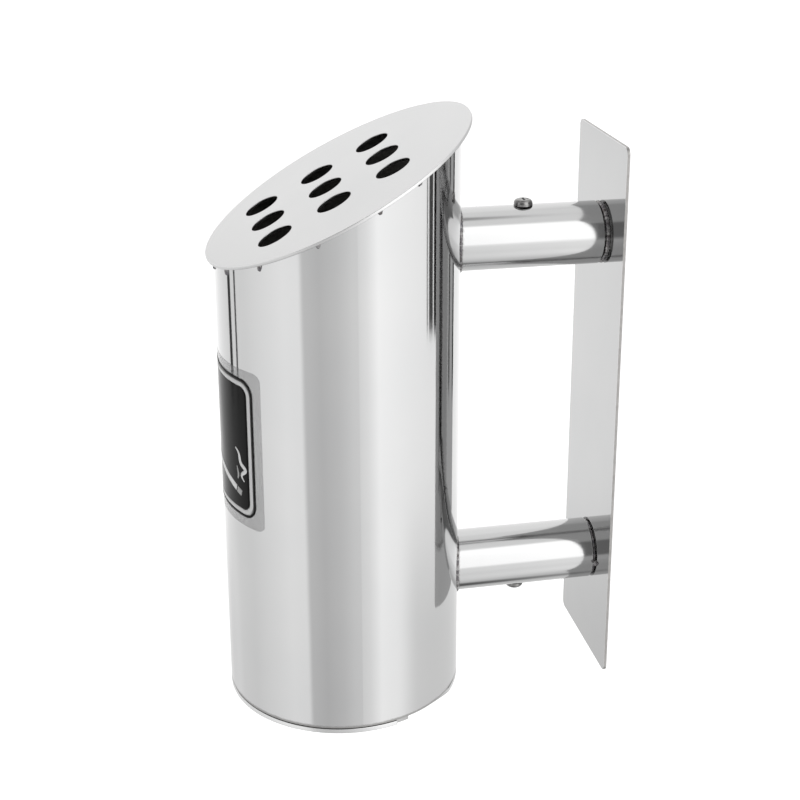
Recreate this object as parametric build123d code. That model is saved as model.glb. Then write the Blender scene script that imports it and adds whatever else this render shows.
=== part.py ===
from build123d import *
import os
from math import cos, radians, sin

# Wall-mounted ashtray bin, in millimetres, +Z up.
# The origin is on the wall face, midway between the two fixing holes. +Y points into the
# wall and -Y at the user. The bin's two arms slip over two pegs on the wall plate, and the
# base plate swings out under the tube to empty it.

# Driving dimensions: the body and its lid
BODY_DIAMETER = 101.6
BODY_WALL = 1.2
LID_DIAMETER = 122.6
LID_THICKNESS = 1.2
LID_SLOPE = 28.0  # degrees; the lid rises towards the wall
LID_HEIGHT = 227.5  # lid's upper face on the body's axis, above the base plate's underside
HOLE_DIAMETER = 15.0
HOLE_ROW_PITCH = 26.7  # along the slope
HOLE_COLUMN_PITCH = 23.7
HOLE_ROW_OFFSET = -5.4  # the pattern sits a little down the slope
TACK_ANGLES = (-45, -17, 10, 30, 58, 85, 112, 139, 166, 193, 220, 247, 274, 292)
TACK_RADIUS = 1.5

# Driving dimensions: the arms, pegs and wall plate
ARM_DIAMETER = 26.9
ARM_WALL = 1.5
ARM_SPACING = 150.0
LOWER_ARM_HEIGHT = 50.0  # above the base plate's underside
BODY_TO_PLATE = 113.0  # body's axis to the wall plate's front face
UPPER_ARM_GAP = 2.0  # between the arm's end and the wall plate
LOWER_ARM_GAP = 1.0
ARM_BEAD = 1.4
PEG_CLEARANCE = 0.07  # radial, between peg and arm
PEG_WALL = 1.5
PEG_LENGTH = 46.0
PEG_BEAD_WIDTH = 1.5
UPPER_PEG_BEAD = 1.5
LOWER_PEG_BEAD = 0.6
BEAD_END_RADIUS = 1.3
BEAD_END_ANGLE = -5.0
BEAD_END_INSET = 0.1
PLATE_WIDTH = 63.0
PLATE_THICKNESS = 1.2
PLATE_TOP = 118.0
PLATE_BOTTOM = -122.0
PLATE_CORNER = 3.0
FIXING_HOLE_DIAMETER = 6.5

# Driving dimensions: the lock screws and their nuts
LOCK_SCREW_TO_BODY = 79.0  # screw's axis to the body's axis
M4_RADIUS = 2.0
LOCK_HEAD_RADIUS = 4.0
LOCK_HEAD_HEIGHT = 2.6
LOCK_SCREW_LENGTH = 8.0
PEG_SLOT_WIDTH = 4.5
NUT_WIDTH = 7.0
NUT_THICKNESS = 2.2
NUT_DEPTH = 9.7  # nut's outer face, from the peg's axis

# Driving dimensions: the shape of every pan-head screw, as shares of its own sizes
TIP_CHAMFER = 0.2  # of the shank's radius
HEAD_ROUNDING = 0.7  # of the head's height
RECESS_SIZE = 1.05  # across the cross, of the head's radius
RECESS_DEPTH = 0.6  # of the head's height
RECESS_ARM = 0.25  # width of the cross's arms, of its size
RECESS_TAPER = 12.0  # degrees

# Driving dimensions: the base plate and its pivot
BASE_THICKNESS = 2.0
BASE_SEAM = 0.5
PIVOT_ANGLE = 201.0  # degrees from +X, about the body's axis
PIVOT_RADIUS = 41.0
PIVOT_SCREW_RADIUS = 2.5
PIVOT_HEAD_RADIUS = 4.6
PIVOT_HEAD_HEIGHT = 2.8
PIVOT_SCREW_LENGTH = 12.0
LUG_WIDTH = 16.0
LUG_HEIGHT = 9.0
LUG_INNER_RADIUS = 33.0
WASHER_RADIUS = 5.0
WASHER_THICKNESS = 0.4
SPRING_WASHER_RADIUS = 4.6
SPRING_WASHER_THICKNESS = 1.2
SPRING_WASHER_SPLIT = 0.8
STOP_ANGLE = 21.0
STOP_WIDTH = 6.0
STOP_THICKNESS = 1.2
STOP_HEIGHT = 12.0
RELIEF_SWEEP = 30.0  # degrees about the pivot

# Driving dimensions: the sign
SIGN_WIDTH = 76.0
SIGN_HEIGHT = 69.5
SIGN_CORNER = 3.5
SIGN_MIDDLE = 123.75  # above the base plate's underside
SIGN_THICKNESS = 0.15

# Clearances
RUNNING = 0.05  # between a screw and its hole, and between faces that rub
WELD_FIT = 0.02  # between pieces that are welded together
EASE = 0.3  # between pieces that move past each other

# Worked out from the above
BODY_RADIUS = BODY_DIAMETER / 2
BODY_BORE = BODY_RADIUS - BODY_WALL
ARM_RADIUS = ARM_DIAMETER / 2
PEG_RADIUS = ARM_RADIUS - ARM_WALL - PEG_CLEARANCE
PEG_BORE = PEG_RADIUS - PEG_WALL
PLATE_FRONT = -PLATE_THICKNESS
BODY_Y = PLATE_FRONT - BODY_TO_PLATE
UPPER_ARM_Z = ARM_SPACING / 2
LOWER_ARM_Z = -ARM_SPACING / 2
LOCK_SCREW_Y = BODY_Y + LOCK_SCREW_TO_BODY
BASE_Z = LOWER_ARM_Z - LOWER_ARM_HEIGHT
TUBE_Z = BASE_Z + BASE_THICKNESS + BASE_SEAM
LID_PLANE = Plane(
    origin=(0, BODY_Y, BASE_Z + LID_HEIGHT),
    x_dir=(1, 0, 0),
    z_dir=(0, -sin(radians(LID_SLOPE)), cos(radians(LID_SLOPE))),
)
FAR = 400.0  # longer than anything here, for cutting solids
OVERCUT = 1.0  # how far a cutting solid runs past the face that it opens

ON_BASE = (Align.CENTER, Align.CENTER, Align.MIN)
ON_TOP = (Align.CENTER, Align.CENTER, Align.MAX)


def upright(radius, low, high, x=0.0, y=BODY_Y):
    """A solid cylinder along Z, on the body's axis unless told otherwise."""
    return Pos(x, y, low) * Cylinder(radius, high - low, align=ON_BASE)


def level(radius, front, back, z):
    """A solid cylinder along Y at height z, from front (more negative) to back."""
    return Pos(0, front, z) * Rot(-90, 0, 0) * Cylinder(radius, back - front, align=ON_BASE)


def polar(radius, angle):
    """The x and y of a point at a radius and angle about the body's axis."""
    return radius * cos(radians(angle)), BODY_Y + radius * sin(radians(angle))


def above_lid_underside():
    """Everything on and above the lid's lower face."""
    return LID_PLANE * Pos(0, 0, -LID_THICKNESS) * Box(FAR, FAR, FAR, align=ON_BASE)


def body_tube():
    """Thin tube, square at the bottom and cut to the lid's slope at the top."""
    tube = upright(BODY_RADIUS, TUBE_Z, FAR) - upright(BODY_BORE, TUBE_Z, FAR)
    return tube - above_lid_underside()


def lid_plate():
    """Round plate in the sloping plane, with three rows of three holes."""
    face = Circle(LID_DIAMETER / 2)
    for row in (-1, 0, 1):
        for column in (-1, 0, 1):
            x = column * HOLE_COLUMN_PITCH
            y = HOLE_ROW_OFFSET + row * HOLE_ROW_PITCH
            face -= Pos(x, y) * Circle(HOLE_DIAMETER / 2)
    return LID_PLANE * extrude(face, -LID_THICKNESS)


def lid_tack_welds():
    """Weld tacks in the corner between the tube's outside and the lid's underside."""
    slope_rise = sin(radians(LID_SLOPE)) / cos(radians(LID_SLOPE))
    underside = BASE_Z + LID_HEIGHT - LID_THICKNESS / cos(radians(LID_SLOPE))
    body = upright(BODY_RADIUS + WELD_FIT, TUBE_Z, FAR)
    tacks = []
    for angle in TACK_ANGLES:
        x, y = polar(BODY_RADIUS, angle)
        z = underside + slope_rise * (y - BODY_Y)
        tacks.append(Pos(x, y, z) * Sphere(TACK_RADIUS) - body - above_lid_underside())
    return Compound(children=tacks)


def arm_tube(z, gap, screw_side):
    """Arm from the body's back to near the wall plate, with one hole for its lock screw."""
    back = PLATE_FRONT - gap
    arm = level(ARM_RADIUS, BODY_Y, back, z) - level(ARM_RADIUS - ARM_WALL, BODY_Y, back, z)
    arm -= upright(BODY_RADIUS + WELD_FIT, BASE_Z, FAR)
    hole = upright(M4_RADIUS + RUNNING, 0, 2 * ARM_RADIUS, y=LOCK_SCREW_Y)
    if screw_side < 0:
        hole = hole.mirror(Plane.XY)
    return arm - Pos(0, 0, z) * hole


def arm_weld(z):
    """Bead round the saddle where an arm meets the body."""
    over_arm = level(ARM_RADIUS + ARM_BEAD, BODY_Y, PLATE_FRONT, z)
    over_arm -= level(ARM_RADIUS + WELD_FIT, BODY_Y, PLATE_FRONT, z)
    low, high = z - 2 * ARM_RADIUS, z + 2 * ARM_RADIUS
    over_body = upright(BODY_RADIUS + ARM_BEAD, low, high)
    over_body -= upright(BODY_RADIUS + WELD_FIT, low, high)
    return over_arm & over_body


def wall_plate():
    """Flat plate with rounded corners and a fixing hole behind each arm."""
    height = PLATE_TOP - PLATE_BOTTOM
    middle = (PLATE_TOP + PLATE_BOTTOM) / 2
    face = Pos(0, middle) * RectangleRounded(PLATE_WIDTH, height, PLATE_CORNER)
    for z in (LOWER_ARM_Z, UPPER_ARM_Z):
        face -= Pos(0, z) * Circle(FIXING_HOLE_DIAMETER / 2)
    return extrude(Plane.XZ * face, PLATE_THICKNESS)


def peg_tube(z, screw_side):
    """Peg on the wall plate, slotted from its free end so that the lock screw can pass."""
    front = PLATE_FRONT - PEG_LENGTH
    peg = level(PEG_RADIUS, front, PLATE_FRONT, z) - level(PEG_BORE, front, PLATE_FRONT, z)
    seat = LOCK_SCREW_Y
    length, depth = seat - front + OVERCUT, PEG_RADIUS + OVERCUT
    slot = upright(PEG_SLOT_WIDTH / 2, 0, depth, y=seat)
    slot += Pos(0, seat, 0) * Box(
        PEG_SLOT_WIDTH, length, depth, align=(Align.CENTER, Align.MAX, Align.MIN)
    )
    if screw_side < 0:
        slot = slot.mirror(Plane.XY)
    return peg - Pos(0, 0, z) * slot


def peg_weld(z, height):
    """Fillet bead between a peg and the wall plate."""
    low, high = PEG_RADIUS + WELD_FIT, PEG_RADIUS + PEG_BEAD_WIDTH
    profile = Polyline((low, 0), (high, 0), (low, height), close=True)
    bead = revolve(Plane.XZ * make_face(profile), Axis.Z)
    return Pos(0, PLATE_FRONT, z) * Rot(90, 0, 0) * bead


def bead_end(z):
    """Blob where the lower peg's weld ends, just outside the arm."""
    radius = ARM_RADIUS + BEAD_END_RADIUS - BEAD_END_INSET
    x = radius * cos(radians(BEAD_END_ANGLE))
    height = z + radius * sin(radians(BEAD_END_ANGLE))
    ahead_of_plate = Box(FAR, FAR, FAR, align=(Align.CENTER, Align.MAX, Align.CENTER))
    blob = Pos(x, PLATE_FRONT, height) * (Sphere(BEAD_END_RADIUS) & ahead_of_plate)
    return blob - level(ARM_RADIUS + EASE / 2, BODY_Y, PLATE_FRONT - LOWER_PEG_BEAD, z)


def cross_recess(size, depth):
    """Cross-shaped driver recess, cut downwards from z = 0."""
    width = size * RECESS_ARM
    arms = extrude(Rectangle(size, width), -depth, taper=RECESS_TAPER)
    arms += extrude(Rectangle(width, size), -depth, taper=RECESS_TAPER)
    return arms


def pan_screw(shank_radius, length, head_radius, head_height):
    """Pan-head screw along Z: shank down from z = 0, head above it, tip chamfered."""
    shank = Cylinder(shank_radius, length, align=ON_TOP)
    shank = chamfer(shank.edges().group_by(Axis.Z)[0], shank_radius * TIP_CHAMFER)
    head = Cylinder(head_radius, head_height, align=ON_BASE)
    head = fillet(head.edges().group_by(Axis.Z)[-1], head_height * HEAD_ROUNDING)
    recess = cross_recess(head_radius * RECESS_SIZE, head_height * RECESS_DEPTH)
    return shank + head - Pos(0, 0, head_height) * recess


def lock_screw(z, screw_side):
    """Lock screw through an arm, its head on the arm's outside."""
    screw = pan_screw(M4_RADIUS, LOCK_SCREW_LENGTH, LOCK_HEAD_RADIUS, LOCK_HEAD_HEIGHT)
    screw = Pos(0, LOCK_SCREW_Y, ARM_RADIUS + RUNNING) * screw
    if screw_side < 0:
        screw = screw.mirror(Plane.XY)
    return Pos(0, 0, z) * screw


def lock_nut(z, screw_side):
    """Square nut inside a peg, on the lock screw."""
    nut = Box(NUT_WIDTH, NUT_WIDTH, NUT_THICKNESS, align=ON_TOP)
    nut -= Cylinder(M4_RADIUS + RUNNING, 4 * NUT_THICKNESS)
    nut = Pos(0, LOCK_SCREW_Y, NUT_DEPTH) * nut
    if screw_side < 0:
        nut = nut.mirror(Plane.XY)
    return Pos(0, 0, z) * nut


def base_plate():
    """Disc under the tube, relieved along the path of the stop tab."""
    x, y = polar(PIVOT_RADIUS, PIVOT_ANGLE)
    low, high = BASE_Z, BASE_Z + BASE_THICKNESS
    disc = upright(BODY_RADIUS, low, high)
    disc -= upright(PIVOT_SCREW_RADIUS + RUNNING, low, high, x, y)
    tab_corner = BODY_BORE - WELD_FIT - STOP_THICKNESS
    inner = PIVOT_RADIUS + tab_corner - 2 * EASE
    seat = STOP_WIDTH / 2 + EASE
    sector = CenterArc((0, 0), inner, 0, RELIEF_SWEEP)
    outer = CenterArc((0, 0), 2 * inner, 0, RELIEF_SWEEP)
    sides = [Line(sector @ 0, outer @ 0), Line(sector @ 1, outer @ 1)]
    relief = extrude(make_face([sector, outer, *sides]), BASE_THICKNESS)
    return disc - Pos(x, y, low) * Rot(0, 0, STOP_ANGLE) * Pos(0, -seat, 0) * relief


def stop_tab():
    """Short strip welded inside the tube; its lower end stops the base plate."""
    outer = BODY_BORE - WELD_FIT
    ring = upright(outer, BASE_Z + RUNNING, TUBE_Z + STOP_HEIGHT)
    ring -= upright(outer - STOP_THICKNESS, BASE_Z + RUNNING, TUBE_Z + STOP_HEIGHT)
    window = Box(BODY_DIAMETER, STOP_WIDTH, FAR, align=(Align.MIN, Align.CENTER, Align.CENTER))
    return ring & Pos(0, BODY_Y, 0) * Rot(0, 0, STOP_ANGLE) * window


def pivot_lug():
    """Block welded inside the tube, tapped for the pivot screw."""
    x, y = polar(PIVOT_RADIUS, PIVOT_ANGLE)
    block = Pos(LUG_INNER_RADIUS, 0, TUBE_Z) * Box(
        BODY_DIAMETER, LUG_WIDTH, LUG_HEIGHT, align=(Align.MIN, Align.CENTER, Align.MIN)
    )
    block = Pos(0, BODY_Y, 0) * Rot(0, 0, PIVOT_ANGLE) * block
    block &= upright(BODY_BORE - WELD_FIT, TUBE_Z, TUBE_Z + LUG_HEIGHT)
    return block - upright(PIVOT_SCREW_RADIUS + WELD_FIT, TUBE_Z, TUBE_Z + LUG_HEIGHT, x, y)


def pivot_washer():
    """Thin washer between the lug and the base plate."""
    x, y = polar(PIVOT_RADIUS, PIVOT_ANGLE)
    low, high = TUBE_Z - RUNNING - WASHER_THICKNESS, TUBE_Z - RUNNING
    return upright(WASHER_RADIUS, low, high, x, y) - upright(
        PIVOT_SCREW_RADIUS + RUNNING, low, high, x, y
    )


def spring_washer():
    """Split washer between the base plate and the screw's head."""
    x, y = polar(PIVOT_RADIUS, PIVOT_ANGLE)
    high = BASE_Z - RUNNING
    low = high - SPRING_WASHER_THICKNESS
    ring = upright(SPRING_WASHER_RADIUS, low, high, x, y)
    ring -= upright(PIVOT_SCREW_RADIUS + RUNNING, low, high, x, y)
    split = Box(FAR, SPRING_WASHER_SPLIT, FAR, align=(Align.MIN, Align.CENTER, Align.CENTER))
    return ring - Pos(x, y, 0) * Rot(0, 0, PIVOT_ANGLE) * split


def pivot_screw():
    """Screw that holds the base plate to the lug, put in from below."""
    x, y = polar(PIVOT_RADIUS, PIVOT_ANGLE)
    screw = pan_screw(PIVOT_SCREW_RADIUS, PIVOT_SCREW_LENGTH, PIVOT_HEAD_RADIUS, PIVOT_HEAD_HEIGHT)
    underside = BASE_Z - 2 * RUNNING - SPRING_WASHER_THICKNESS
    return Pos(x, y, underside) * screw.mirror(Plane.XY)


def sign_film():
    """Clear film that follows the tube's front, with rounded corners."""
    middle = BASE_Z + SIGN_MIDDLE
    low, high = middle - SIGN_HEIGHT, middle + SIGN_HEIGHT
    inner = BODY_RADIUS + WELD_FIT
    skin = upright(inner + SIGN_THICKNESS, low, high) - upright(inner, low, high)
    half_angle = SIGN_WIDTH / 2 / BODY_RADIUS
    chord = 2 * (inner + SIGN_THICKNESS) * sin(half_angle)
    outline = Plane.XZ * Pos(0, middle) * RectangleRounded(chord, SIGN_HEIGHT, SIGN_CORNER)
    return skin & Pos(0, BODY_Y, 0) * extrude(outline, BODY_DIAMETER)


parts = {
    "body_tube": body_tube(),
    "lid_plate": lid_plate(),
    "lid_tack_welds": lid_tack_welds(),
    "wall_plate": wall_plate(),
    "base_plate": base_plate(),
    "stop_tab": stop_tab(),
    "pivot_lug": pivot_lug(),
    "pivot_washer": pivot_washer(),
    "spring_washer": spring_washer(),
    "pivot_screw": pivot_screw(),
    "sign_film": sign_film(),
}
# The two arms differ in height, in the gap at the plate and in the side of their lock screw.
ARMS = {
    "upper": (UPPER_ARM_Z, UPPER_ARM_GAP, UPPER_PEG_BEAD, 1),
    "lower": (LOWER_ARM_Z, LOWER_ARM_GAP, LOWER_PEG_BEAD, -1),
}
for name, (height, gap, bead, side) in ARMS.items():
    parts[name + "_arm_tube"] = arm_tube(height, gap, side)
    parts[name + "_arm_weld"] = arm_weld(height)
    parts[name + "_peg_tube"] = peg_tube(height, side)
    parts[name + "_peg_weld"] = peg_weld(height, bead)
    parts[name + "_lock_screw"] = lock_screw(height, side)
    parts[name + "_lock_nut"] = lock_nut(height, side)
parts["lower_peg_weld"] += bead_end(LOWER_ARM_Z)

os.makedirs("parts", exist_ok=True)
for name, shape in parts.items():
    export_step(shape, "parts/" + name + ".step")
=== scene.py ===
from math import cos, pi, radians, sin, sqrt, tan

import bmesh
import bpy
from mathutils import Matrix, Vector, noise


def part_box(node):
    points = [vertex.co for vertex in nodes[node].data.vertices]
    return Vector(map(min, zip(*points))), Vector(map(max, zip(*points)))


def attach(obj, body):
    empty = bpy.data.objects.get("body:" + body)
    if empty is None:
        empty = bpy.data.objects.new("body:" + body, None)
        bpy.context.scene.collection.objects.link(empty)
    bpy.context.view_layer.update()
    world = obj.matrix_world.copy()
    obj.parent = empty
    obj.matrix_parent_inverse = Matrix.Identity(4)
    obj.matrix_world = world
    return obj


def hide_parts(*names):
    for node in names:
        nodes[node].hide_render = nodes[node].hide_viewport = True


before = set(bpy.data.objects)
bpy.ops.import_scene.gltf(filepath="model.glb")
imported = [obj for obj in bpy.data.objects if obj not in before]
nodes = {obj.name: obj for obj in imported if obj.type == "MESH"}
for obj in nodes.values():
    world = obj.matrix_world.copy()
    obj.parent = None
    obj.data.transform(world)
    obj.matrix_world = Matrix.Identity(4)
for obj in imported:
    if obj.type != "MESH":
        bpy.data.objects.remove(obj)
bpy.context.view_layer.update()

# Looks for the wall-mounted ashtray bin: a polished steel tube with a sloping satin lid, held
# by two arms on a wall plate. Metres, in the frame of the CAD part: +Z up, +Y into the wall.

MM = 0.001
scene = bpy.context.scene


# ---- Sizes read from the frame ----

def middle_of(node):
    """The centre of a CAD node's box."""
    low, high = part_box(node)
    return (low + high) / 2


def half_width_of(node):
    """Half of a CAD node's size along X."""
    low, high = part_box(node)
    return (high.x - low.x) / 2


BODY_RADIUS = half_width_of("body_tube")
AXIS_Y = middle_of("body_tube").y
LID_RADIUS = half_width_of("lid_plate")
LID_MIDDLE = middle_of("lid_plate")
ARM_RADIUS = half_width_of("upper_arm_tube")
PEG_RADIUS = half_width_of("upper_peg_tube")
PLATE_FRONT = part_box("wall_plate")[0].y
ARM_HEIGHTS = {name: middle_of(name + "_arm_tube").z for name in ("upper", "lower")}
SIGN_MIDDLE_Z = middle_of("sign_film").z
FILM_RADIUS = AXIS_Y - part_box("sign_film")[0].y

# Sizes of the CAD part that its boxes don't give
LID_SLOPE = radians(28)
LID_THICKNESS = 1.2 * MM
BODY_WALL = 1.2 * MM

# The share of light that each kind of steel reflects straight back
STEEL_SHADE = 0.57
PLATE_SHADE = 0.47
SCREW_SHADE = 0.28

# The darkest and lightest shade of ash with the painted shade in the bore and along the body's seam,
# of scale from welding, and of sheared metal
ASH_AND_SHADE = (0.05, 0.26)
SCALE = (0.03, 0.30)
SHEARED = (0.10, 0.40)

EDGE_ROUND = 0.2 * MM  # along the sharp edges of the plates

# Sizes of the pieces made here
PRINT_GAP = 0.05 * MM  # between the film and the first printed layer
PRINT_THICKNESS = 0.04 * MM
PRINT_LAYER = 1.5 * PRINT_THICKNESS  # from one printed layer's middle to the next
PANEL_HALF_WIDTH = 30 * MM
PANEL_HALF_HEIGHT = 27.2 * MM
PANEL_CORNER = 4 * MM
OUTLINE_HALF_WIDTH = 32.9 * MM
OUTLINE_HALF_HEIGHT = 30.1 * MM
OUTLINE_CORNER = 6 * MM
OUTLINE_LINE = 1.15 * MM
BORDER_LINE = 1.9 * MM
TACK_ANGLES = (-45, -17, 10, 30, 58, 85, 112, 139, 166, 193, 220, 247, 274, 292)
TACK_RADIUS = 1.0 * MM
TACK_HEIGHT = 2.3  # times its width: the tacks have run down the tube
TACK_DROP = 2.3 * MM  # from the lid's underside to a tack's middle
ARM_BEAD_RADIUS = 0.65 * MM
PEG_BEAD_RADII = {"upper": 1.15 * MM, "lower": 0.7 * MM}
BEAD_PITCH = 1.5 * MM
BEAD_STANDOFF = 0.1 * MM  # how far a bead's middle stands off the tube
BEAD_SINK = 0.3 * MM  # how far a bead may reach into the wall plate
BEAD_END_RADIUS = 1.25 * MM
BEAD_END_HEIGHT = 1.1  # times its width
BEAD_END_DROP = 1.2 * MM  # below the lower arm's middle

# The smoking cigarette, in millimetres. Its points are arcs from the tube's front and heights
# over the sign's middle.
CIGARETTE_TIP = (21.0, -19.2)
CIGARETTE_END = (-20.0, -5.6)
CIGARETTE_HALF_WIDTH = 1.4
FILTER_LENGTH = 11  # with the gap between it and the paper
FILTER_GAP = 0.8
ASH_START = 0.6  # beyond the tip
ASH_END = 4
SMOKE = [(27, -14.6), (25.2, -12.2), (28, -9.2), (24.8, -6.8), (23.6, -2.8), (21, -0.8)]
SMOKE_WIDTH = 0.95
WISP = [(22.2, -14.6), (22.8, -12.4), (21.8, -8.8)]
WISP_WIDTH = 0.6

# The camera, and the point that it looks at
CAMERA_AZIMUTH = radians(77.36)
CAMERA_ELEVATION = radians(18.93)
CAMERA_ROLL = radians(0.36)
CAMERA_DISTANCE = 0.659
CAMERA_AIM = Vector((-9.95, -68.44, 36.22)) * MM
CAMERA_LENS = 68.5
CAMERA_SENSOR = 36.0
CAMERA_SHIFT = (-0.05, -0.10)
FLOOR_Z = -0.6
FLOOR_HALF_SIZE = 30.0


# ---- Node trees ----

class Tree:
    """A node tree, with a short call for each kind of node used here."""

    def __init__(self, owner):
        owner.use_nodes = True
        self.nodes = owner.node_tree.nodes
        self.links = owner.node_tree.links
        self.nodes.clear()

    def add(self, kind, values=(), **settings):
        """A node; values fills its inputs in order, each with a number or another node's output."""
        node = self.nodes.new(kind)
        for key, value in settings.items():
            setattr(node, key, value)
        for socket, value in zip(node.inputs, values):
            self.put(socket, value)
        return node

    def put(self, socket, value):
        """Sets an input to a value, or links an output to it."""
        if isinstance(value, bpy.types.NodeSocket):
            self.links.new(value, socket)
        else:
            socket.default_value = value

    def math(self, operation, *values):
        return self.add("ShaderNodeMath", values, operation=operation).outputs[0]

    def vector(self, operation, *values):
        return self.add("ShaderNodeVectorMath", values, operation=operation).outputs[0]

    def between(self, value, start, end):
        """0 before start, 1 after end and a soft step between them; start may be the larger."""
        node = self.add("ShaderNodeMapRange", interpolation_type="SMOOTHSTEP")
        self.put(node.inputs["Value"], value)
        self.put(node.inputs["From Min"], start)
        self.put(node.inputs["From Max"], end)
        return node.outputs[0]

    def mix(self, amount, first, second):
        """Between two colours."""
        node = self.add("ShaderNodeMix", data_type="RGBA")
        self.put(node.inputs[0], amount)
        self.put(node.inputs[6], first)
        self.put(node.inputs[7], second)
        return node.outputs[2]

    def blend(self, amount, first, second):
        """Between two numbers."""
        node = self.add("ShaderNodeMix", data_type="FLOAT")
        self.put(node.inputs[0], amount)
        self.put(node.inputs[2], first)
        self.put(node.inputs[3], second)
        return node.outputs[0]

    def noise(self, place, scale, detail=2.0, roughness=0.5):
        """Fractal noise from 0 to 1; scale is in features per millimetre."""
        node = self.add("ShaderNodeTexNoise")
        self.put(node.inputs["Vector"], place)
        self.put(node.inputs["Scale"], scale)
        self.put(node.inputs["Detail"], detail)
        self.put(node.inputs["Roughness"], roughness)
        return node.outputs["Fac"]

    def position(self):
        """The point's place in millimetres."""
        place = self.add("ShaderNodeTexCoord").outputs["Object"]
        scale = (1 / MM,) * 3
        return self.vector("MULTIPLY", place, scale)


def grey(shade, warmth=0.0):
    """A colour near grey; warmth moves it from blue towards red."""
    return (shade * (1 + warmth), shade, shade * (1 - warmth), 1.0)


def surface(tree, **inputs):
    """A Principled shader as the material's surface, with its inputs by name."""
    shader = tree.add("ShaderNodeBsdfPrincipled")
    for name, value in inputs.items():
        tree.put(shader.inputs[name.replace("_", " ")], value)
    output = tree.add("ShaderNodeOutputMaterial")
    tree.links.new(shader.outputs[0], output.inputs[0])
    return shader


def bump(tree, height):
    """A normal from a height in millimetres."""
    node = tree.add("ShaderNodeBump")
    node.inputs["Distance"].default_value = MM
    tree.put(node.inputs["Height"], height)
    return node.outputs[0]


def new_material(name):
    material = bpy.data.materials.new(name)
    return material, Tree(material)


# ---- Materials ----

def from_axis(tree, place):
    """Distance from the body's axis, in millimetres."""
    flat = tree.vector("MULTIPLY", place, (1.0, 1.0, 0.0))
    flat = tree.vector("SUBTRACT", flat, (0.0, AXIS_Y / MM, 0.0))
    return tree.add("ShaderNodeVectorMath", [flat], operation="LENGTH").outputs["Value"]


def along(tree, place, axis):
    """The place's x, y or z."""
    return tree.add("ShaderNodeSeparateXYZ", [place]).outputs["XYZ".index(axis)]


def tube_edge(tree, place):
    """Distance from the body's lower edge."""
    return tree.math("SUBTRACT", along(tree, place, "Z"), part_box("body_tube")[0].z / MM)


def disc_edge(tree, place):
    """Distance from the base plate's rim."""
    return tree.math("SUBTRACT", BODY_RADIUS / MM, from_axis(tree, place))


def lid_edge(tree, place):
    """Distance from the lid's rim, along its slope."""
    flat = tree.vector("SUBTRACT", place, (0.0, LID_MIDDLE.y / MM, 0.0))
    flat = tree.vector("MULTIPLY", flat, (1.0, 1 / cos(LID_SLOPE), 0.0))
    radius = tree.add("ShaderNodeVectorMath", [flat], operation="LENGTH").outputs["Value"]
    return tree.math("SUBTRACT", LID_RADIUS / MM, radius)


def plate_edge(tree, place):
    """Distance from the wall plate's outline."""
    low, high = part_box("wall_plate")
    side = tree.math("SUBTRACT", high.x / MM, tree.math("ABSOLUTE", along(tree, place, "X")))
    height = along(tree, place, "Z")
    below = tree.math("SUBTRACT", height, low.z / MM)
    above = tree.math("SUBTRACT", high.z / MM, height)
    return tree.math("MINIMUM", side, tree.math("MINIMUM", below, above))


def arm_edge(tree, place):
    """Distance from the lower arm's end, which the upper arm's is close to."""
    return tree.math("SUBTRACT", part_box("lower_arm_tube")[1].y / MM, along(tree, place, "Y"))


def worn(tree, place, edge, colour, roughness):
    """An edge that handling has rubbed brighter and duller: a colour and a roughness."""
    distance = edge(tree, place)
    ragged = tree.math("MULTIPLY_ADD", tree.noise(place, 0.5, 3.0, 0.6), 0.5, distance)
    rubbed = tree.between(ragged, 0.75, 0.3)
    colour = tree.mix(rubbed, colour, grey(STEEL_SHADE + 0.12))
    return colour, tree.math("MULTIPLY_ADD", rubbed, 0.16, roughness)


def ash_and_shade_inside(tree, place):
    """Mask of the body's bore: ash and painted shade that keep the closed tube dark inside."""
    middle_of_wall = (BODY_RADIUS - BODY_WALL / 2) / MM
    return tree.between(from_axis(tree, place), middle_of_wall + 0.1, middle_of_wall - 0.1)


def ash_and_painted_shade(tree, place):
    """Mask of the bore's ash and painted shade, and of painted shade along the seam over the base
    plate.
    """
    noisy = tree.math("MULTIPLY_ADD", tree.noise(place, 0.3, 3.0, 0.6), 0.8, tube_edge(tree, place))
    # painted shade along the seam, darker towards the body's lower edge
    seam = tree.math("MULTIPLY", tree.between(noisy, 1.9, 0.7), 0.7)
    return tree.math("MAXIMUM", ash_and_shade_inside(tree, place), seam)


def sheared_sides(tree, place):
    """Mask of the wall plate's cut sides, which are dull and a little rusty."""
    facing = along(tree, tree.add("ShaderNodeNewGeometry").outputs["Normal"], "Y")
    side = tree.between(tree.math("ABSOLUTE", facing), 0.8, 0.5)
    return tree.math("MULTIPLY", side, tree.blend(tree.noise(place, 0.25, 4.0, 0.7), 0.5, 1.0))


def ash_and_shade_on_top(tree, place):
    """Mask of the base plate's upper face in the bore, which the bin's contents lie on: ash and
    painted shade.
    """
    upward = along(tree, tree.add("ShaderNodeNewGeometry").outputs["Normal"], "Z")
    return tree.math("MULTIPLY", tree.between(upward, 0.6, 0.8), ash_and_shade_inside(tree, place))


def ash_and_shade_underneath(tree, place):
    """Mask of the lid's underside within the body: ash and painted shade."""
    upward = along(tree, tree.add("ShaderNodeNewGeometry").outputs["Normal"], "Z")
    return tree.math("MULTIPLY", tree.between(upward, -0.6, -0.8), ash_and_shade_inside(tree, place))


def weld_stain(tree, place):
    """Mask of the arm's root, which welding has stained and grinding has left rough."""
    noisy = tree.noise(place, 0.45, 4.0, 0.7)
    ragged = tree.math("MULTIPLY_ADD", noisy, -2.6, from_axis(tree, place))
    edge = BODY_RADIUS / MM
    return tree.math("MULTIPLY", tree.between(ragged, edge + 0.2, edge - 1.2), 0.85)


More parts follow.
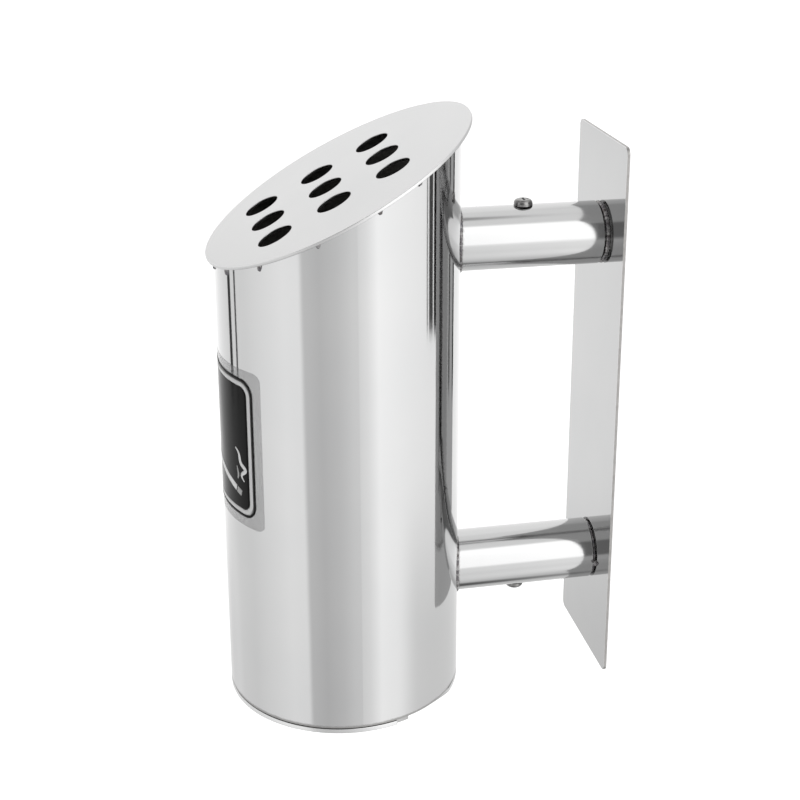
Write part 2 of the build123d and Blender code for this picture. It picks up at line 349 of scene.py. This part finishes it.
def soiled_and_shaded(tree, place, stain_and_shade, shades, colour, rough, metal):
    """Dark marks over steel where the stain mask says (ash and painted shade, weld scale, sheared
    metal): a colour, a roughness and how metallic it is. shades is the stain's darkest and lightest
    shade; metal is how metallic it is where it is whole."""
    mottle = tree.noise(place, 0.9, 6.0, 0.7)
    dirt_and_shade = tree.mix(mottle, grey(shades[0], 0.06), grey(shades[1], 0.04))
    colour = tree.mix(stain_and_shade, colour, dirt_and_shade)
    return colour, tree.blend(stain_and_shade, rough, 0.45), tree.blend(stain_and_shade, 1.0, metal)


def polished(name, shade, lines, edge, stain_and_shade=None, shades=ASH_AND_SHADE, metal=0.3, dullness=0.045):
    """Mirror-polished steel: faint polishing lines, slow waves, smudges and rubbed edges.
    Its stain argument, called with tree and place, may add a mask, from 0 to 1, of dirty metal; on
    the body and base plate it also holds painted shade."""
    material, tree = new_material(name)
    place = tree.position()
    broad = tree.noise(place, 0.02, 3.0)
    fine = tree.noise(tree.vector("MULTIPLY", place, lines), 1.0, 4.0, 0.7)
    smudge = tree.between(tree.noise(place, 0.07, 6.0, 0.62), 0.5, 0.72)
    colour = tree.mix(broad, grey(shade + 0.02, 0.004), grey(shade - 0.03, -0.006))
    rough = tree.math("MULTIPLY_ADD", smudge, 0.035, dullness)
    rough = tree.math("MULTIPLY_ADD", fine, 0.02, rough)
    colour, rough = worn(tree, place, edge, colour, rough)
    metallic = 1.0
    if stain_and_shade:
        mask = stain_and_shade(tree, place)
        colour, rough, metallic = soiled_and_shaded(tree, place, mask, shades, colour, rough, metal)
    wave = tree.math("MULTIPLY", tree.noise(place, 0.035, 1.0), 0.05)
    normal = bump(tree, tree.math("MULTIPLY_ADD", fine, 0.0006, wave))
    surface(tree, Base_Color=colour, Metallic=metallic, Roughness=rough, Normal=normal)
    return material


def satin(name):
    """Lid steel with a fine brushed grain down the slope, and ash with painted shade on its
    underside.
    """
    material, tree = new_material(name)
    place = tree.position()
    grain = tree.noise(tree.vector("MULTIPLY", place, (6.0, 0.12, 0.12)), 1.0, 5.0, 0.75)
    cloud = tree.noise(place, 0.03, 4.0)
    colour = tree.mix(cloud, grey(STEEL_SHADE + 0.03, 0.004), grey(STEEL_SHADE - 0.02, -0.004))
    rough = tree.math("MULTIPLY_ADD", grain, 0.12, 0.15)
    colour, rough = worn(tree, place, lid_edge, colour, rough)
    mask = ash_and_shade_underneath(tree, place)
    colour, rough, metallic = soiled_and_shaded(tree, place, mask, ASH_AND_SHADE, colour, rough, 0.3)
    normal = bump(tree, tree.math("MULTIPLY", grain, 0.004))
    surface(tree, Base_Color=colour, Metallic=metallic, Roughness=rough, Normal=normal)
    return material


def drawn(name):
    """Unpolished tube and strip, with drawing lines along it and dull patches."""
    material, tree = new_material(name)
    place = tree.position()
    lines = tree.noise(tree.vector("MULTIPLY", place, (3.0, 0.08, 3.0)), 1.0, 4.0, 0.7)
    patch = tree.noise(place, 0.15, 5.0, 0.6)
    colour = tree.mix(patch, grey(0.5, 0.01), grey(0.36, 0.0))
    rough = tree.math("MULTIPLY_ADD", lines, 0.12, 0.16)
    rough = tree.math("MULTIPLY_ADD", patch, 0.12, rough)
    normal = bump(tree, tree.math("MULTIPLY", lines, 0.006))
    surface(tree, Base_Color=colour, Metallic=1.0, Roughness=rough, Normal=normal)
    return material


def weld_metal(name):
    """Bare weld bead: mottled, with dark scale and a trace of heat tint."""
    material, tree = new_material(name)
    place = tree.position()
    mottle = tree.noise(place, 0.5, 4.0, 0.6)
    scale = tree.between(mottle, 0.42, 0.72)
    tint = tree.noise(place, 0.35, 2.0)
    dark = tree.mix(tint, (0.20, 0.17, 0.15, 1.0), (0.12, 0.13, 0.16, 1.0))
    colour = tree.mix(scale, dark, grey(0.5, 0.01))
    rough = tree.math("MULTIPLY_ADD", mottle, 0.25, 0.14)
    height = tree.math("MULTIPLY", tree.noise(place, 1.2, 3.0, 0.6), 0.05)
    surface(tree, Base_Color=colour, Metallic=1.0, Roughness=rough, Normal=bump(tree, height))
    return material


def plated(name, shade, roughness):
    """Screws, nuts and washers."""
    material, tree = new_material(name)
    place = tree.position()
    patch = tree.noise(place, 0.4, 5.0, 0.65)
    colour = tree.mix(patch, grey(shade + 0.08, 0.01), grey(shade - 0.08, 0.02))
    rough = tree.math("MULTIPLY_ADD", patch, 0.2, roughness)
    height = tree.math("MULTIPLY", tree.noise(place, 3.0, 3.0), 0.01)
    surface(tree, Base_Color=colour, Metallic=1.0, Roughness=rough, Normal=bump(tree, height))
    return material


def film(name):
    """Clear plastic film, a little cloudy."""
    material, tree = new_material(name)
    place = tree.position()
    cloud = tree.noise(place, 0.12, 4.0)
    colour = tree.mix(cloud, grey(0.36), grey(0.30))
    rough = tree.math("MULTIPLY_ADD", cloud, 0.1, 0.06)
    height = tree.math("MULTIPLY", tree.noise(place, 0.09, 2.0), 0.03)
    surface(
        tree, Base_Color=colour, Roughness=rough, IOR=1.5, Alpha=0.18, Normal=bump(tree, height)
    )
    return material


def ink(name, shade, sheen, gloss=0.5):
    """Printing under a gloss: faint speckle and slow waves in the shine."""
    material, tree = new_material(name)
    place = tree.position()
    speck = tree.noise(place, 0.8, 5.0, 0.6)
    colour = tree.mix(speck, grey(shade * 0.85), grey(shade * 1.1))
    rough = tree.math("MULTIPLY_ADD", speck, 0.08, sheen)
    height = tree.math("MULTIPLY", tree.noise(place, 0.09, 2.0), 0.04)
    shader = surface(tree, Base_Color=colour, Roughness=rough, Normal=bump(tree, height))
    shader.inputs["Specular IOR Level"].default_value = gloss
    return material


def pale_floor(name):
    """Plain pale sweep."""
    material, tree = new_material(name)
    place = tree.position()
    cloud = tree.noise(place, 0.002, 2.0)
    colour = tree.mix(cloud, grey(0.93), grey(0.9))
    surface(
        tree, Base_Color=colour, Roughness=0.9, Emission_Color=grey(1.0), Emission_Strength=0.35
    )
    return material


# ---- Shapes ----

def add_piece(name, bm, material, body):
    """Makes an object from a bmesh, smooth, with its material, on its body."""
    mesh = bpy.data.meshes.new(name)
    bmesh.ops.recalc_face_normals(bm, faces=bm.faces)
    for face in bm.faces:
        face.smooth = True
    bm.to_mesh(mesh)
    bm.free()
    mesh.materials.append(material)
    piece = bpy.data.objects.new(name, mesh)
    scene.collection.objects.link(piece)
    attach(piece, body)
    return piece


def on_tube(arc, height, radius):
    """The point at an arc from the tube's front, towards +X, and a height over the sign's middle."""
    angle = arc / BODY_RADIUS - pi / 2
    return Vector((radius * cos(angle), AXIS_Y + radius * sin(angle), SIGN_MIDDLE_Z + height))


def resampled(points, longest, closed=False):
    """The same path with no step longer than longest."""
    ends = points[1:] + points[:1] if closed else points[1:]
    path = []
    for start, end in zip(points, ends):
        count = max(1, round((end - start).length / longest))
        path += [start.lerp(end, step / count) for step in range(count)]
    return path if closed else path + [points[-1]]


def curve_through(points, steps=8):
    """A smooth path through a few points."""
    path = []
    padded = [points[0]] + points + [points[-1]]
    for a, b, c, d in zip(padded, padded[1:], padded[2:], padded[3:]):
        for step in range(steps):
            t = step / steps
            path.append(
                b
                + (c - a) * (t / 2)
                + (a * 2 - b * 5 + c * 4 - d) * (t * t / 2)
                + (b * 3 - a - c * 3 + d) * (t ** 3 / 2)
            )
    return path + [points[-1]]


def printed(name, path, half_widths, material, layer=0, closed=False, columns=2):
    """A thin curved shape on the sign: a strip along path, in the sign's flat plane."""
    radius = FILM_RADIUS + PRINT_GAP + layer * PRINT_LAYER
    bm = bmesh.new()
    rows = []
    last = len(path) - 1
    for index, (middle, half) in enumerate(zip(path, half_widths)):
        before = path[index - 1] if index or closed else middle
        after = path[(index + 1) % len(path)] if index < last or closed else middle
        across = (after - before).orthogonal().normalized() * half
        places = [middle + across * (2 * step / columns - 1) for step in range(columns + 1)]
        rows.append([bm.verts.new(on_tube(p.x, p.y, radius)) for p in places])
    pairs = list(zip(rows, rows[1:] + rows[:1])) if closed else list(zip(rows, rows[1:]))
    for low, high in pairs:
        for step in range(columns):
            bm.faces.new((low[step], low[step + 1], high[step + 1], high[step]))
    piece = add_piece(name, bm, material, "bin")
    thick = piece.modifiers.new("thickness", "SOLIDIFY")
    thick.thickness = PRINT_THICKNESS
    thick.offset = 0


def rounded_rows(half_width, half_height, corner, steps=8):
    """Rows up a rounded rectangle: the middle of each and its half width."""
    arc = [pi / 2 * step / steps for step in range(steps + 1)]
    edge = [(corner * (1 - cos(a)), half_width - corner * (1 - sin(a))) for a in arc]
    rows = [(-half_height + rise, half) for rise, half in edge]
    rows += [(half_height - rise, half) for rise, half in reversed(edge)]
    return [Vector((0, height)) for height, half in rows], [half for height, half in rows]


def rounded_path(half_width, half_height, corner, steps=8):
    """A closed path round a rounded rectangle."""
    path = []
    for quarter, (sx, sy) in enumerate(((1, 1), (-1, 1), (-1, -1), (1, -1))):
        for step in range(steps + 1):
            angle = pi / 2 * (quarter + step / steps)
            centre = Vector((sx * (half_width - corner), sy * (half_height - corner)))
            path.append(centre + Vector((cos(angle), sin(angle))) * corner)
    return resampled(path, longest=2 * MM, closed=True)


def bead(name, path, outward, radius, material, body, node, pitch=BEAD_PITCH, sides=12):
    """A weld bead along a closed path, with a ripple at each pitch. outward gives, for each
    point of the path, the direction in which the bead stands proud."""
    bm = bmesh.new()
    rows = []
    travelled = 0.0
    count = len(path)
    for index, point in enumerate(path):
        tangent = (path[(index + 1) % count] - path[index - 1]).normalized()
        across = outward[index].cross(tangent).normalized()
        ripple = 1 + 0.16 * abs(sin(pi * travelled / pitch))
        ripple += 0.22 * noise.noise(point / (1.6 * MM))
        row = []
        for side in range(sides):
            angle = 2 * pi * side / sides
            spoke = outward[index] * cos(angle) + across * sin(angle)
            lump = 0.1 * noise.noise((point + spoke * radius) / (0.5 * MM))
            place = point + spoke * radius * (ripple + lump)
            place.y = min(place.y, PLATE_FRONT + BEAD_SINK)
            row.append(bm.verts.new(place))
        rows.append(row)
        travelled += (path[(index + 1) % count] - point).length
    for first, second in zip(rows, rows[1:] + rows[:1]):
        for side in range(sides):
            after = (side + 1) % sides
            bm.faces.new((first[side], first[after], second[after], second[side]))
    piece = add_piece(name, bm, material, body)
    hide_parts(node)


def lumps(name, places, radius, height, material, body, node=None):
    """Small irregular blobs, as one piece; height is how much taller than wide they are."""
    bm = bmesh.new()
    for place in places:
        made = bmesh.ops.create_icosphere(bm, subdivisions=4, radius=1.0)
        for vertex in made["verts"]:
            push = 1 + 0.3 * noise.noise(vertex.co * 1.1 + place / MM)
            push += 0.08 * noise.noise(vertex.co * 4 + place / MM)
            offset = vertex.co * radius * push
            offset.z *= height
            vertex.co = place + offset
            vertex.co.y = min(vertex.co.y, PLATE_FRONT + BEAD_SINK)
    piece = add_piece(name, bm, material, body)
    if node:
        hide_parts(node)


# ---- The object's own pieces ----

def saddle(height, grow):
    """The closed line where an arm meets the body, and the direction out of that corner."""
    path, outward = [], []
    steps = 240
    for step in range(steps):
        angle = 2 * pi * step / steps
        x, z = (ARM_RADIUS + grow) * cos(angle), (ARM_RADIUS + grow) * sin(angle)
        y = sqrt((BODY_RADIUS + grow) ** 2 - x * x)
        path.append(Vector((x, AXIS_Y + y, height + z)))
        from_arm = Vector((cos(angle), 0, sin(angle)))
        from_body = Vector((x, y, 0)).normalized()
        outward.append((from_arm + from_body).normalized())
    return path, outward


def plate_ring(height):
    """The closed line where a peg meets the wall plate, and the direction out of that corner."""
    path, outward = [], []
    steps = 180
    for step in range(steps):
        spoke = Vector((cos(2 * pi * step / steps), 0, sin(2 * pi * step / steps)))
        path.append(Vector((0, PLATE_FRONT, height)) + spoke * (PEG_RADIUS + BEAD_STANDOFF))
        outward.append((spoke + Vector((0, -1, 0))).normalized())
    return path, outward


def make_welds(material):
    """Rippled beads in place of the plain CAD ones."""
    for name, height in ARM_HEIGHTS.items():
        path, outward = saddle(height, BEAD_STANDOFF)
        bead(name + "_arm_bead", path, outward, ARM_BEAD_RADIUS, material, "bin", name + "_arm_weld")
        path, outward = plate_ring(height)
        radius = PEG_BEAD_RADII[name]
        node = name + "_peg_weld"
        bead(name + "_peg_bead", path, outward, radius, material, "wall_bracket", node)
    height = ARM_HEIGHTS["lower"] - BEAD_END_DROP
    end = Vector((ARM_RADIUS + BEAD_END_RADIUS, PLATE_FRONT, height))
    name = "lower_peg_bead_end"
    lumps(name, [end], BEAD_END_RADIUS, BEAD_END_HEIGHT, material, "wall_bracket")


def make_tacks(material):
    """Tacks in the corner between the body and the lid."""
    underside = LID_MIDDLE.z - LID_THICKNESS / cos(LID_SLOPE)
    places = []
    for angle in TACK_ANGLES:
        x = BODY_RADIUS * cos(radians(angle))
        y = BODY_RADIUS * sin(radians(angle))
        z = underside + y * tan(LID_SLOPE) - TACK_DROP
        places.append(Vector((x, AXIS_Y + y, z)))
    lumps("lid_tacks", places, TACK_RADIUS, TACK_HEIGHT, material, "bin", "lid_tack_welds")


def make_label(black, silver):
    """The sign's black panel, the thin line round it, and the border between them."""
    path, halves = rounded_rows(PANEL_HALF_WIDTH, PANEL_HALF_HEIGHT, PANEL_CORNER)
    printed("sign_panel", path, halves, black, columns=48)
    path = rounded_path(OUTLINE_HALF_WIDTH, OUTLINE_HALF_HEIGHT, OUTLINE_CORNER)
    printed("sign_outline", path, [OUTLINE_LINE / 2] * len(path), black, closed=True)
    half_width = (OUTLINE_HALF_WIDTH - OUTLINE_LINE / 2 + PANEL_HALF_WIDTH) / 2
    half_height = (OUTLINE_HALF_HEIGHT - OUTLINE_LINE / 2 + PANEL_HALF_HEIGHT) / 2
    path = rounded_path(half_width, half_height, PANEL_CORNER + BORDER_LINE / 2)
    printed("sign_border", path, [BORDER_LINE / 2] * len(path), silver, closed=True)


def make_cigarette(white, ash):
    """A cigarette across the panel: filter, paper and ash."""
    tip = Vector(CIGARETTE_TIP) * MM
    end = Vector(CIGARETTE_END) * MM
    ahead = (tip - end).normalized()
    joint = end + ahead * FILTER_LENGTH * MM
    bars = {
        "sign_filter": (end, joint - ahead * FILTER_GAP * MM, white),
        "sign_paper": (joint, tip, white),
        "sign_ash": (tip + ahead * ASH_START * MM, tip + ahead * ASH_END * MM, ash),
    }
    for name, (start, stop, colour) in bars.items():
        path = resampled([start, stop], longest=1 * MM)
        half_widths = [CIGARETTE_HALF_WIDTH * MM] * len(path)
        printed(name, path, half_widths, colour, layer=1, columns=4)


def make_smoke(name, points, colour, thickness):
    """A strand of smoke through a few points, thickest at its middle."""
    path = curve_through([Vector(point) * MM for point in points])
    last = len(path) - 1
    halves = [thickness * (0.25 + 0.75 * sin(pi * i / last)) for i in range(last + 1)]
    printed(name, path, halves, colour, layer=1)


def make_sign():
    """The print on the film: a panel, its outline and border, and a smoking cigarette."""
    black = ink("sign_black", 0.004, 0.1, gloss=0.06)
    white = ink("sign_white", 0.6, 0.3)
    ash = ink("sign_grey", 0.3, 0.3)
    make_label(black, ink("sign_silver", 0.5, 0.22))
    make_cigarette(white, ash)
    make_smoke("sign_smoke", SMOKE, white, SMOKE_WIDTH * MM)
    make_smoke("sign_wisp", WISP, ash, WISP_WIDTH * MM)


def soften_edges(node, width):
    """A small round along a CAD node's sharp edges."""
    weld = node.modifiers.new("join", "WELD")
    weld.merge_threshold = 0.002 * MM
    bevel = node.modifiers.new("edge", "BEVEL")
    bevel.width = width
    bevel.segments = 2
    bevel.limit_method = "ANGLE"
    bevel.angle_limit = radians(40)
    normals = node.modifiers.new("shading", "WEIGHTED_NORMAL")
    normals.weight = 100


def dress_cad_nodes():
    """A material for every CAD node that shows. The polishing lines' features per millimetre
    are given along X, Y and Z."""
    upright, level, across = (7.0, 0.3, 0.3), (0.25, 0.25, 9.0), (0.3, 6.0, 0.3)
    arm = polished(
        "arm_steel", STEEL_SHADE, across, arm_edge, weld_stain, SCALE, metal=1.0, dullness=0.1
    )
    screw = plated("screw_steel_worn", SCREW_SHADE, 0.14)
    inner = drawn("inner_steel_drawn")
    materials = {
        "wall_plate": polished(
            "plate_steel", PLATE_SHADE, upright, plate_edge, sheared_sides, SHEARED, metal=1.0
        ),
        # The base's upper face, the body's bore and the seam over the base plate are painted dark:
        # ash with painted shade
        "base_plate": polished("base_steel", STEEL_SHADE, upright, disc_edge, ash_and_shade_on_top),
        "body_tube": polished("body_steel", STEEL_SHADE, level, tube_edge, ash_and_painted_shade),
        "lid_plate": satin("lid_steel"),
        "upper_arm_tube": arm,
        "lower_arm_tube": arm,
        "sign_film": film("sign_film_clear"),
    }
    for name in ("upper_lock_screw", "lower_lock_screw", "upper_lock_nut", "lower_lock_nut"):
        materials[name] = screw
    for name in ("pivot_screw", "pivot_washer", "spring_washer"):
        materials[name] = screw
    for name in ("upper_peg_tube", "lower_peg_tube", "pivot_lug", "stop_tab"):
        materials[name] = inner
    for name, material in materials.items():
        nodes[name].material_slots[0].material = material
    for name in ("wall_plate", "base_plate", "lid_plate"):
        soften_edges(nodes[name], EDGE_ROUND)


# ---- The studio ----

# The studio's walls, as (azimuth in degrees, tone in polished steel): one ring of them low
# down, which the upright tube mirrors, and one above the horizon, which the arms and lid mirror.
LOW_WALLS = (
    (-180, 0.86), (-162, 0.85), (-130, 0.80), (-106, 0.80), (-90, 0.83), (-60, 0.875),
    (-44, 0.87), (-40, 0.73), (-25, 0.70), (-9, 0.735), (13, 0.825), (29, 0.945), (52, 0.92),
    (84, 0.885), (160, 0.84),
)
HIGH_WALLS = (
    (-180, 0.84), (-168, 0.83), (-158, 0.72), (-140, 0.78), (-100, 0.78), (-50, 0.52),
    (-40, 0.42), (-8, 0.48), (6, 0.94), (18, 1.02), (46, 1.00), (70, 0.92), (86, 0.70), (140, 0.70),
    (158, 0.84),
)
HORIZON = (-14.0, -4.0)  # the low walls give way to the high ones between these elevations
# Each of these is a tone, and the elevations where it starts and is whole
OVERHEAD = (0.80, 52.0, 60.0)
ROOF_GAP = (0.20, 73.0, 81.0)
TABLE = (0.68, -42.0, -78.0)
TABLE_GAP = (0.15, -70.0, -82.0)
FRONT_SHADE = (0.65, 40.0, 48.0)  # over and under the front half of the studio only
FRONT_EDGE = (-0.05, -0.12)  # a direction's Y where the front half starts and is whole
# The share of the low walls' tone that is left at the end of a fade, and where the fade starts
# and ends. SIDE_FADE is only on the walls to either side of SIDE_MIDDLE.
LOW_WALL_FADE = (0.95, -18.0, -38.0)
SIDE_FADE = (0.90, -24.0, -31.0)
SIDE_MIDDLE = radians(135)
SIDE_EDGE = (0.0, 0.4)  # cosine of the angle from SIDE_MIDDLE: where they start, and are whole
# Dark strips that hang in front of the low walls: azimuth, half width, lower end and tone
FLAGS = (
    (-129.0, 2.4, -21.5, 0.18), (-119.0, 1.2, -21.5, 0.22), (82.5, 0.7, -19.4, 0.45),
    (87.5, 2.6, -19.4, 0.24), (94.0, 2.4, -19.4, 0.05),
)
FLAG_SIDE_BLUR = 0.4  # degrees to either side of a strip's edge
FLAG_END_BLUR = 0.3  # the same, above and below a strip's lower end
# From a displayed tone to light, as in sRGB: a scale and a shift, and then a power
TONE_SCALE = (0.948, 0.052)
TONE_POWER = 2.4


def ring(tree, azimuth, walls):
    """A tone for every azimuth, in straight steps between the walls' stops."""
    turn = tree.math("MULTIPLY_ADD", azimuth, 1 / 360, 0.5)
    ramp = tree.add("ShaderNodeValToRGB", [turn])
    stops = ramp.color_ramp.elements
    for angle, tone in walls[2:]:
        stops.new((angle + 180) / 360)
    for stop, (angle, tone) in zip(stops, walls):
        stop.position = (angle + 180) / 360
        stop.color = (tone, tone, tone, 1.0)
    last = stops.new(1.0)
    last.color = (walls[0][1],) * 3 + (1.0,)
    return tree.add("ShaderNodeRGBToBW", [ramp.outputs[0]]).outputs[0]


def faded(tree, tone, elevation, fade, where=1.0):
    """A tone that falls to a share of itself between two elevations, where a mask says so."""
    share, start, end = fade
    amount = tree.math("MULTIPLY", tree.between(elevation, start, end), where)
    return tree.math("MULTIPLY", tone, tree.blend(amount, 1.0, share))


def hung(tree, tone, azimuth, elevation, flag):
    """A tone with a dark strip in front of it."""
    middle, half, bottom, shade = flag
    offset = tree.math("ABSOLUTE", tree.math("SUBTRACT", azimuth, middle))
    inside = tree.between(offset, half + FLAG_SIDE_BLUR, half - FLAG_SIDE_BLUR)
    above = tree.between(elevation, bottom - FLAG_END_BLUR, bottom + FLAG_END_BLUR)
    return tree.blend(tree.math("MULTIPLY", inside, above), tone, shade)


def covered(tree, tone, elevation, cover, where=1.0):
    """A tone that gives way to a cover's own between two elevations, where a mask says so."""
    shade, start, end = cover
    amount = tree.math("MULTIPLY", tree.between(elevation, start, end), where)
    return tree.blend(amount, tone, shade)


def studio_tone(tree, direction):
    """The studio's tone in a direction, as it looks in polished steel."""
    parts = tree.add("ShaderNodeSeparateXYZ", [direction]).outputs
    azimuth = tree.math("DEGREES", tree.math("ARCTAN2", parts[1], parts[0]))
    elevation = tree.math("DEGREES", tree.math("ARCSINE", parts[2]))
    toward = (cos(SIDE_MIDDLE), sin(SIDE_MIDDLE), 0.0)
    facing = tree.add("ShaderNodeVectorMath", [direction, toward], operation="DOT_PRODUCT")
    side = tree.between(facing.outputs["Value"], *SIDE_EDGE)
    low = faded(tree, ring(tree, azimuth, LOW_WALLS), elevation, LOW_WALL_FADE)
    low = faded(tree, low, elevation, SIDE_FADE, side)
    for flag in FLAGS:
        low = hung(tree, low, azimuth, elevation, flag)
    tone = tree.blend(tree.between(elevation, *HORIZON), low, ring(tree, azimuth, HIGH_WALLS))
    tone = covered(tree, tone, elevation, OVERHEAD)
    tone = covered(tree, tone, elevation, TABLE)
    front = tree.between(parts[1], *FRONT_EDGE)
    tone = covered(tree, tone, tree.math("ABSOLUTE", elevation), FRONT_SHADE, front)
    tone = covered(tree, tone, elevation, ROOF_GAP)
    return covered(tree, tone, elevation, TABLE_GAP)


def make_studio():
    """A light tent as the world. The camera sees plain white."""
    world = bpy.data.worlds.new("studio")
    scene.world = world
    tree = Tree(world)
    tone = studio_tone(tree, tree.add("ShaderNodeTexCoord").outputs["Generated"])
    light = tree.math("POWER", tree.math("MULTIPLY_ADD", tone, *TONE_SCALE), TONE_POWER)
    light = tree.math("DIVIDE", light, STEEL_SHADE)
    seen = tree.add("ShaderNodeLightPath").outputs["Is Camera Ray"]
    light = tree.blend(seen, light, 1.0)
    background = tree.add("ShaderNodeBackground", [light, 1.0])
    output = tree.add("ShaderNodeOutputWorld")
    tree.links.new(background.outputs[0], output.inputs[0])


def make_floor():
    """A pale floor well below the object, which the steel doesn't mirror."""
    bm = bmesh.new()
    bmesh.ops.create_grid(bm, x_segments=1, y_segments=1, size=FLOOR_HALF_SIZE)
    mesh = bpy.data.meshes.new("floor")
    bm.to_mesh(mesh)
    bm.free()
    mesh.materials.append(pale_floor("floor_pale"))
    floor = bpy.data.objects.new("floor", mesh)
    floor.location.z = FLOOR_Z
    floor.visible_glossy = False
    scene.collection.objects.link(floor)


def make_camera():
    """The camera, at its azimuth, elevation and roll about the point that it looks at."""
    a, e, roll = CAMERA_AZIMUTH, CAMERA_ELEVATION, CAMERA_ROLL
    back = Vector((sin(a) * cos(e), -cos(a) * cos(e), sin(e)))
    level = Vector((cos(a), sin(a), 0))
    upright = back.cross(level)
    right = level * cos(roll) + upright * sin(roll)
    up = upright * cos(roll) - level * sin(roll)
    data = bpy.data.cameras.new("camera")
    data.lens = CAMERA_LENS
    data.sensor_width = CAMERA_SENSOR
    data.shift_x, data.shift_y = CAMERA_SHIFT
    camera = bpy.data.objects.new("camera", data)
    place = CAMERA_AIM + back * CAMERA_DISTANCE
    rotation = Matrix((right, up, back)).transposed().to_4x4()
    camera.matrix_world = Matrix.Translation(place) @ rotation
    scene.collection.objects.link(camera)
    scene.camera = camera


scene.view_settings.view_transform = "Standard"
make_camera()
make_studio()
make_floor()
dress_cad_nodes()
bare_weld = weld_metal("weld_bead")
make_welds(bare_weld)
make_tacks(bare_weld)
make_sign()
